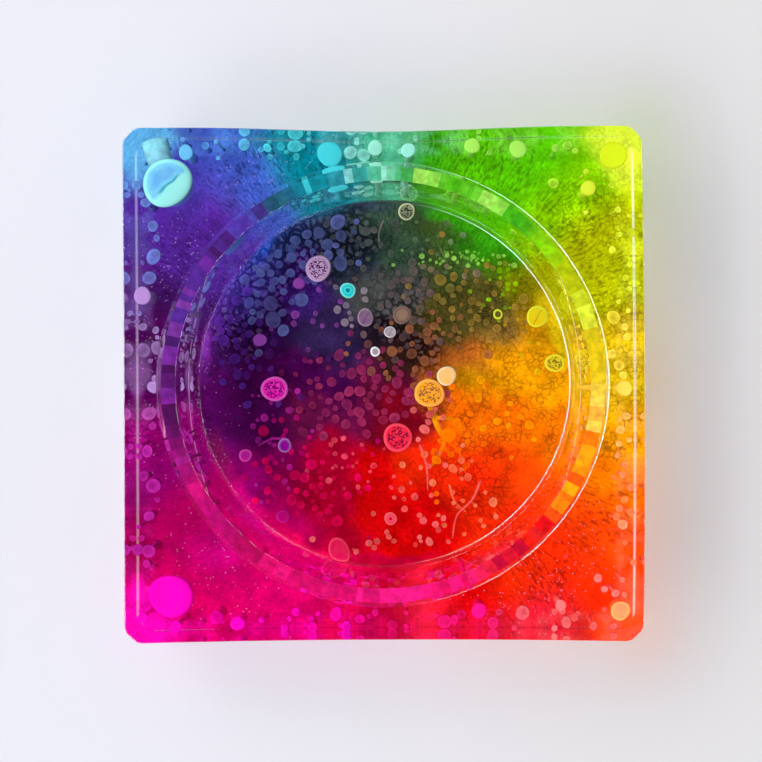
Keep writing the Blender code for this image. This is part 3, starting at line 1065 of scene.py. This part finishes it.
def make_small_drops(material):
    """Several hundred small sunken drops, gathered by the pour that each belongs to."""
    rng = random.Random(DROP_SEED)
    taken = []
    for node, *_ in CELL_LOOKS:
        centre, radius, _ = cell_place(node)
        taken.append((centre[0], centre[1], radius))
    gathered = defaultdict(InkMesh)
    for x, y, radius, top, ink in well_drops(rng, taken) + edge_drops(rng, taken):
        shape = (1.0 + 0.25 * rng.random() ** 2, 1.0, rng.uniform(0, math.pi))
        lean = (rng.gauss(0, 0.25) * MM, rng.gauss(0, 0.25) * MM)
        phase = rng.uniform(0, 6.28)
        gathered[pour_at(x, y)].add(cell_tube((x, y), radius, top, ink, DROP_SEGMENTS, shape, lean, phase))
    build_by_pour("drops", gathered, material)


def bevel_tiles(rng):
    """(start, end, colour) in degrees of the tiles of ink that the rim's bevel mirrors."""
    tiles = []
    start = 0.0
    while start < 359.0:
        end = min(start + rng.uniform(*TILE_DEGREES), 360.0)
        middle = math.radians((start + end) / 2)
        pale, deep = [round_the_ring(inks, math.cos(middle), math.sin(middle)) for inks in BEVEL_RINGS]
        tiles.append((start, end, blended(pale, deep, smooth(rng.random(), 0.1, 0.9))))
        start = end
    return tiles


def make_bevel_tiles(material):
    """A thin, nearly flat ring of ink just under the rim's bevel, tile by tile, gathered by pour."""
    inner = (WELL_RADIUS - RIM_BEVEL_WIDTH + 0.15 * MM, TOP - RIM_BEVEL_DEPTH - TILE_CLEARANCE)
    outer = (WELL_RADIUS - 0.10 * MM, inner[1] + TILE_SLOPE)
    lower = [(radius, z - TILE_THICKNESS) for radius, z in (inner, outer)]
    gathered = defaultdict(InkMesh)
    for start, end, colour in bevel_tiles(random.Random(TILE_SEED)):
        steps = max(int(end - start), 1)
        rings = []
        for i in range(steps + 1):
            angle = math.radians(start + (end - start) * i / steps)
            corners = [(*on_oval(radius, angle), z) for radius, z in (outer, inner, *lower)]
            rings.append((corners, colour, 0.0))
        middle = math.radians((start + end) / 2)
        gathered[pour_at(46 * MM * math.cos(middle), 46 * MM * math.sin(middle))].add(rings)
    build_by_pour("bevel", gathered, material, smooth_shading=False)


# Strands that trail from cells: ink, widths at both ends, then x, y and height of each point, in
# millimetres
TRAILS = [
    ("aqua", 4.4, 5.4, (-42.6, 41.6, 15.5), (-43.8, 44.5, 16.5), (-44.6, 48.3, 17.0)),
    ("sky", 0.5, 0.3, (-38.6, 44.5, 15.0), (-39.9, 46.6, 16.0), (-40.2, 48.6, 17.0)),
    ("sky", 0.6, 0.4, (-41.4, 44.5, 16.0), (-42.4, 46.6, 17.0), (-42.2, 48.6, 18.0)),
    ("amber", 1.5, 0.8, (9.0, -4.0, 3.4), (10.6, -8.6, 3.0), (12.0, -12.4, 2.6), (9.4, -17.0, 2.2)),
    ("orange", 0.8, 0.4, (11.6, -11.0, 2.8), (15.0, -14.0, 2.6), (16.4, -18.4, 2.2)),
    ("amber", 0.9, 0.4, (10.0, -7.0, 3.2), (14.4, -7.6, 3.0), (15.8, -10.6, 2.6)),
    ("coral", 0.6, 0.3, (7.0, -12.5, 3.2), (8.4, -17.0, 3.0), (8.6, -22.0, 2.6)),
    ("coral", 0.5, 0.3, (19.4, -20.0, 3.2), (17.6, -24.0, 3.0), (14.6, -27.0, 2.8), (13.6, -31.8, 2.6)),
    ("salmon", 0.4, 0.3, (13.0, -20.6, 3.0), (14.0, -24.0, 2.8), (16.4, -26.4, 2.6)),
    ("orchid", 0.7, 0.3, (-19.6, -11.4, 4.6), (-23.0, -11.2, 4.2), (-26.0, -12.6, 3.6)),
    ("sage", 0.4, 0.25, (11.2, 27.8, 4.0), (11.9, 26.4, 3.8), (12.8, 24.4, 3.6)),
    ("silver", 0.35, 0.25, (-0.2, 33.5, 4.0), (-1.2, 30.4, 3.8), (-0.8, 27.6, 3.6)),
]


def bent(points, t):
    """The place at a share t of the way along a smooth line through some points."""
    place = t * (len(points) - 1)
    i = min(int(place), len(points) - 2)
    before, a, b, after = (Vector(points[min(max(k, 0), len(points) - 1)]) for k in range(i - 1, i + 3))
    u = place - i
    return 0.5 * (2 * a + (b - before) * u + (2 * before - 5 * a + 4 * b - after) * u**2
                  + (3 * a - before - 3 * b + after) * u**3)  # fmt: skip


def make_trails(material):
    """Strands of ink, as tapered tubes flattened a little, gathered by the pour that each is over."""
    angles = [2 * math.pi * k / TRAIL_SIDES for k in range(TRAIL_SIDES)]
    gathered = defaultdict(InkMesh)
    for ink, wide, narrow, *points in TRAILS:
        steps = TRAIL_STEPS * (len(points) - 1)
        line = [bent(points, i / steps) * MM for i in range(steps + 1)]
        rings = []
        for i, place in enumerate(line):
            share = i / steps
            half = (wide + (narrow - wide) * share) / 2 * MM * (0.35 if i in (0, steps) else 1.0)
            along = (line[min(i + 1, steps)] - line[max(i - 1, 0)]).normalized()
            across = along.cross(Vector((0.0, 0.0, 1.0))).normalized()
            up = across.cross(along) * (0.45 * half)
            ring = [tuple(place + across * (half * math.cos(a)) + up * math.sin(a)) for a in angles]
            colour = blended(linear(ink), film_colour(place.x, place.y), 0.15 + 0.35 * share)
            rings.append((ring, colour, 0.0))
        gathered[pour_at(line[0].x, line[0].y)].add(rings)
    build_by_pour("strands", gathered, material)


# Where microbubbles are trapped: x, y, spread and how many, in millimetres
BUBBLE_CLUSTERS = [
    (-44, 6, 7, 120), (-43, 26, 5, 50), (-42, -14, 6, 60), (-30, -38, 8, 50), (-20, 44, 7, 24),
    (34, -40, 6, 60), (42, -33, 4, 24), (15, -44, 7, 30),
]  # fmt: skip


def make_bubbles():
    """Tiny round bubbles just above the film."""
    rng = random.Random(BUBBLE_SEED)
    bm = bmesh.new()
    for cx, cy, spread, count in BUBBLE_CLUSTERS:
        for _ in range(count):
            x = rng.gauss(cx, spread) * MM
            y = rng.gauss(cy, spread) * MM
            if abs(x) > HALF_X - 1.2 * MM or abs(y) > HALF_Y - 1.8 * MM or past_chamfer(x, y, 1.5 * MM):
                continue
            z = FILM_TOP + rng.uniform(0.3, 2.5) * MM
            radius = rng.uniform(0.05, 0.12) * MM
            made = bmesh.ops.create_icosphere(bm, subdivisions=1, radius=radius)
            bmesh.ops.translate(bm, verts=made["verts"], vec=(x, y, z))
    bubbles = make_object("microbubbles", smooth_mesh(bm, "microbubbles"), bubble_material())
    join_part(bubbles, "ink_violet")


# ---------------------------------------------------------------------------------------------
# Stage


# The shadow and coloured light painted on the table beside the dish, round it from +X, and how
# strong it is to the right, back, left and front
PAINTED_SHADE_AND_GLOW = [
    (0.58, 0.44, 0.27), (0.54, 0.60, 0.42), (0.60, 0.68, 0.62), (0.72, 0.74, 0.78),
    (0.78, 0.78, 0.84), (0.76, 0.70, 0.80), (0.82, 0.62, 0.72), (0.74, 0.52, 0.46),
]  # fmt: skip
THROWN_STRENGTH = (0.90, 0.55, 0.10, 0.50)
# Where it begins beside each of those sides and where it is full, in millimetres from the middle
THROWN_FROM = ((25, 60), (30, 55), (-20, -60), (-30, -55))
THROWN_REACH = 26 * MM
FLOOR_RADIUS = 3.0
FLOOR_GAP = 0.1 * MM  # keeps the floor clear of the part's underside


def floor_material():
    """A pale table with painted light: paler on the left, and painted shadow and glow close to the dish.
    """
    t = new_material("table_top")
    x, y, _ = t.axes(t.place())
    # Painted falloff of the window's light: paler and bluer on the left, greyer on the right
    colour = t.mix(t.step(x, -70 * MM, 80 * MM), (0.73, 0.73, 0.785), (0.67, 0.655, 0.66))
    squares = []
    for axis, half in ((x, HALF_X), (y, HALF_Y)):
        off = t.maths("MAXIMUM", t.minus(t.maths("ABSOLUTE", axis), half), 0.0)
        squares.append(t.times(off, off))
    gap = t.maths("SQRT", t.plus(*squares))
    near = t.maths("POWER", t.step(gap, THROWN_REACH, 0.0), 1.8)
    share = 0.0
    for axis, (begins, full), strength in zip((x, y, x, y), THROWN_FROM, THROWN_STRENGTH):
        beside = t.times(t.step(axis, begins * MM, full * MM), strength)
        share = t.maths("MAXIMUM", beside, share)
    turn = t.maths("FRACT", t.plus(t.maths("DIVIDE", t.maths("ARCTAN2", y, x), 2 * math.pi), 1.0))
    # The painted shadow and coloured light, by direction round the dish
    painted_tint = t.ramp(turn, [(i / 8, tint) for i, tint in enumerate(PAINTED_SHADE_AND_GLOW + PAINTED_SHADE_AND_GLOW[:1])])
    return t.matte(t.mix(t.times(near, share), colour, painted_tint), 0.9)


def make_floor():
    below = (0.0, 0.0, -FLOOR_GAP)
    bpy.ops.mesh.primitive_circle_add(vertices=96, radius=FLOOR_RADIUS, fill_type="NGON", location=below)
    floor = bpy.context.object
    floor.name = "table_top"
    floor.data.materials.append(floor_material())


# Light comes from a wide window on the left and a low one on the right, with none overhead. Heights
# are those at which a window starts, is full, fades and ends, and spans how far to the left it
# starts and is full. In gloss means as seen in the resin's reflections.
WINDOW_HEIGHTS = (0.46, 0.52, 0.74, 0.82)
WINDOW_SPAN = (0.10, 0.75)
WINDOW_TO_TABLE = 6.3
WINDOW_IN_GLOSS = 24.0
LOW_HEIGHTS = (0.02, 0.07, 0.13, 0.18)
LOW_SPAN = (-0.30, -0.80)
LOW_TO_TABLE = 1.8
LOW_IN_GLOSS = 26.0
ROOM = 0.48
ROOM_IN_GLOSS = 0.25
CEILING = 0.03


def make_world():
    """Soft studio light, stronger in the resin's reflections, with a plain backdrop."""
    world = bpy.data.worlds.new("soft_studio")
    bpy.context.scene.world = world
    t = Tree(world)
    x, _, z = t.axes(t.node("TexCoord").outputs["Generated"])
    level = t.maths("SQRT", t.minus(1.001, t.times(z, z)))
    leftward = t.maths("DIVIDE", t.times(x, -1.0), level)
    path = t.node("LightPath").outputs
    gloss = t.times(path["Is Glossy Ray"], t.step(path["Diffuse Depth"], 1.0, 0.0))
    total = t.times(t.step(z, 0.80, 0.95, ROOM, CEILING), t.step(gloss, 0.0, 1.0, 1.0, ROOM_IN_GLOSS))
    for heights, span, to_table, in_gloss in (
        (WINDOW_HEIGHTS, WINDOW_SPAN, WINDOW_TO_TABLE, WINDOW_IN_GLOSS),
        (LOW_HEIGHTS, LOW_SPAN, LOW_TO_TABLE, LOW_IN_GLOSS),
    ):
        window = t.times(t.band(z, *heights), t.step(leftward, *span))
        total = t.plus(total, t.times(window, t.step(gloss, 0.0, 1.0, to_table, in_gloss)))
    camera = path["Is Camera Ray"]
    seen = t.mix(camera, (0.97, 0.98, 1.0), (0.82, 0.83, 0.87))
    strength = t.plus(t.times(total, t.minus(1.0, camera)), camera)
    t.finish(t.node("Background", {"Color": seen, "Strength": strength}), "World")


# The camera looks straight down from a little to the right of and behind the middle
CAMERA_OFFSET = (7.3 * MM, 3.6 * MM)
CAMERA_ABOVE_TOP = 325 * MM
CAMERA_ROLL = math.radians(-0.25)
FRAME_WIDTH_AT_TOP = 146.6 * MM
SUBJECT_SHIFT = (0.0026, -0.0045)  # of the dish's middle from the frame's, in frame widths


def make_camera():
    data = bpy.data.cameras.new("camera")
    camera = bpy.data.objects.new("camera", data)
    bpy.context.scene.collection.objects.link(camera)
    camera.location = (*CAMERA_OFFSET, TOP + CAMERA_ABOVE_TOP)
    camera.rotation_euler = (0.0, 0.0, CAMERA_ROLL)
    data.sensor_width = 36.0
    data.lens = data.sensor_width * CAMERA_ABOVE_TOP / FRAME_WIDTH_AT_TOP
    data.clip_start = 0.01
    data.shift_x = -CAMERA_OFFSET[0] / FRAME_WIDTH_AT_TOP - SUBJECT_SHIFT[0]
    data.shift_y = -CAMERA_OFFSET[1] / FRAME_WIDTH_AT_TOP - SUBJECT_SHIFT[1]
    bpy.context.scene.camera = camera


bpy.context.scene.view_settings.view_transform = "Standard"
noise.seed_set(SWIRL_SEED)  # or the clock would seed drifted()'s vector noise
make_resin()
make_film(film_material())
make_large_cells()
drops = drop_material()
make_small_drops(drops)
make_bevel_tiles(drops)
make_trails(drops)
make_bubbles()
make_floor()
make_world()
make_camera()
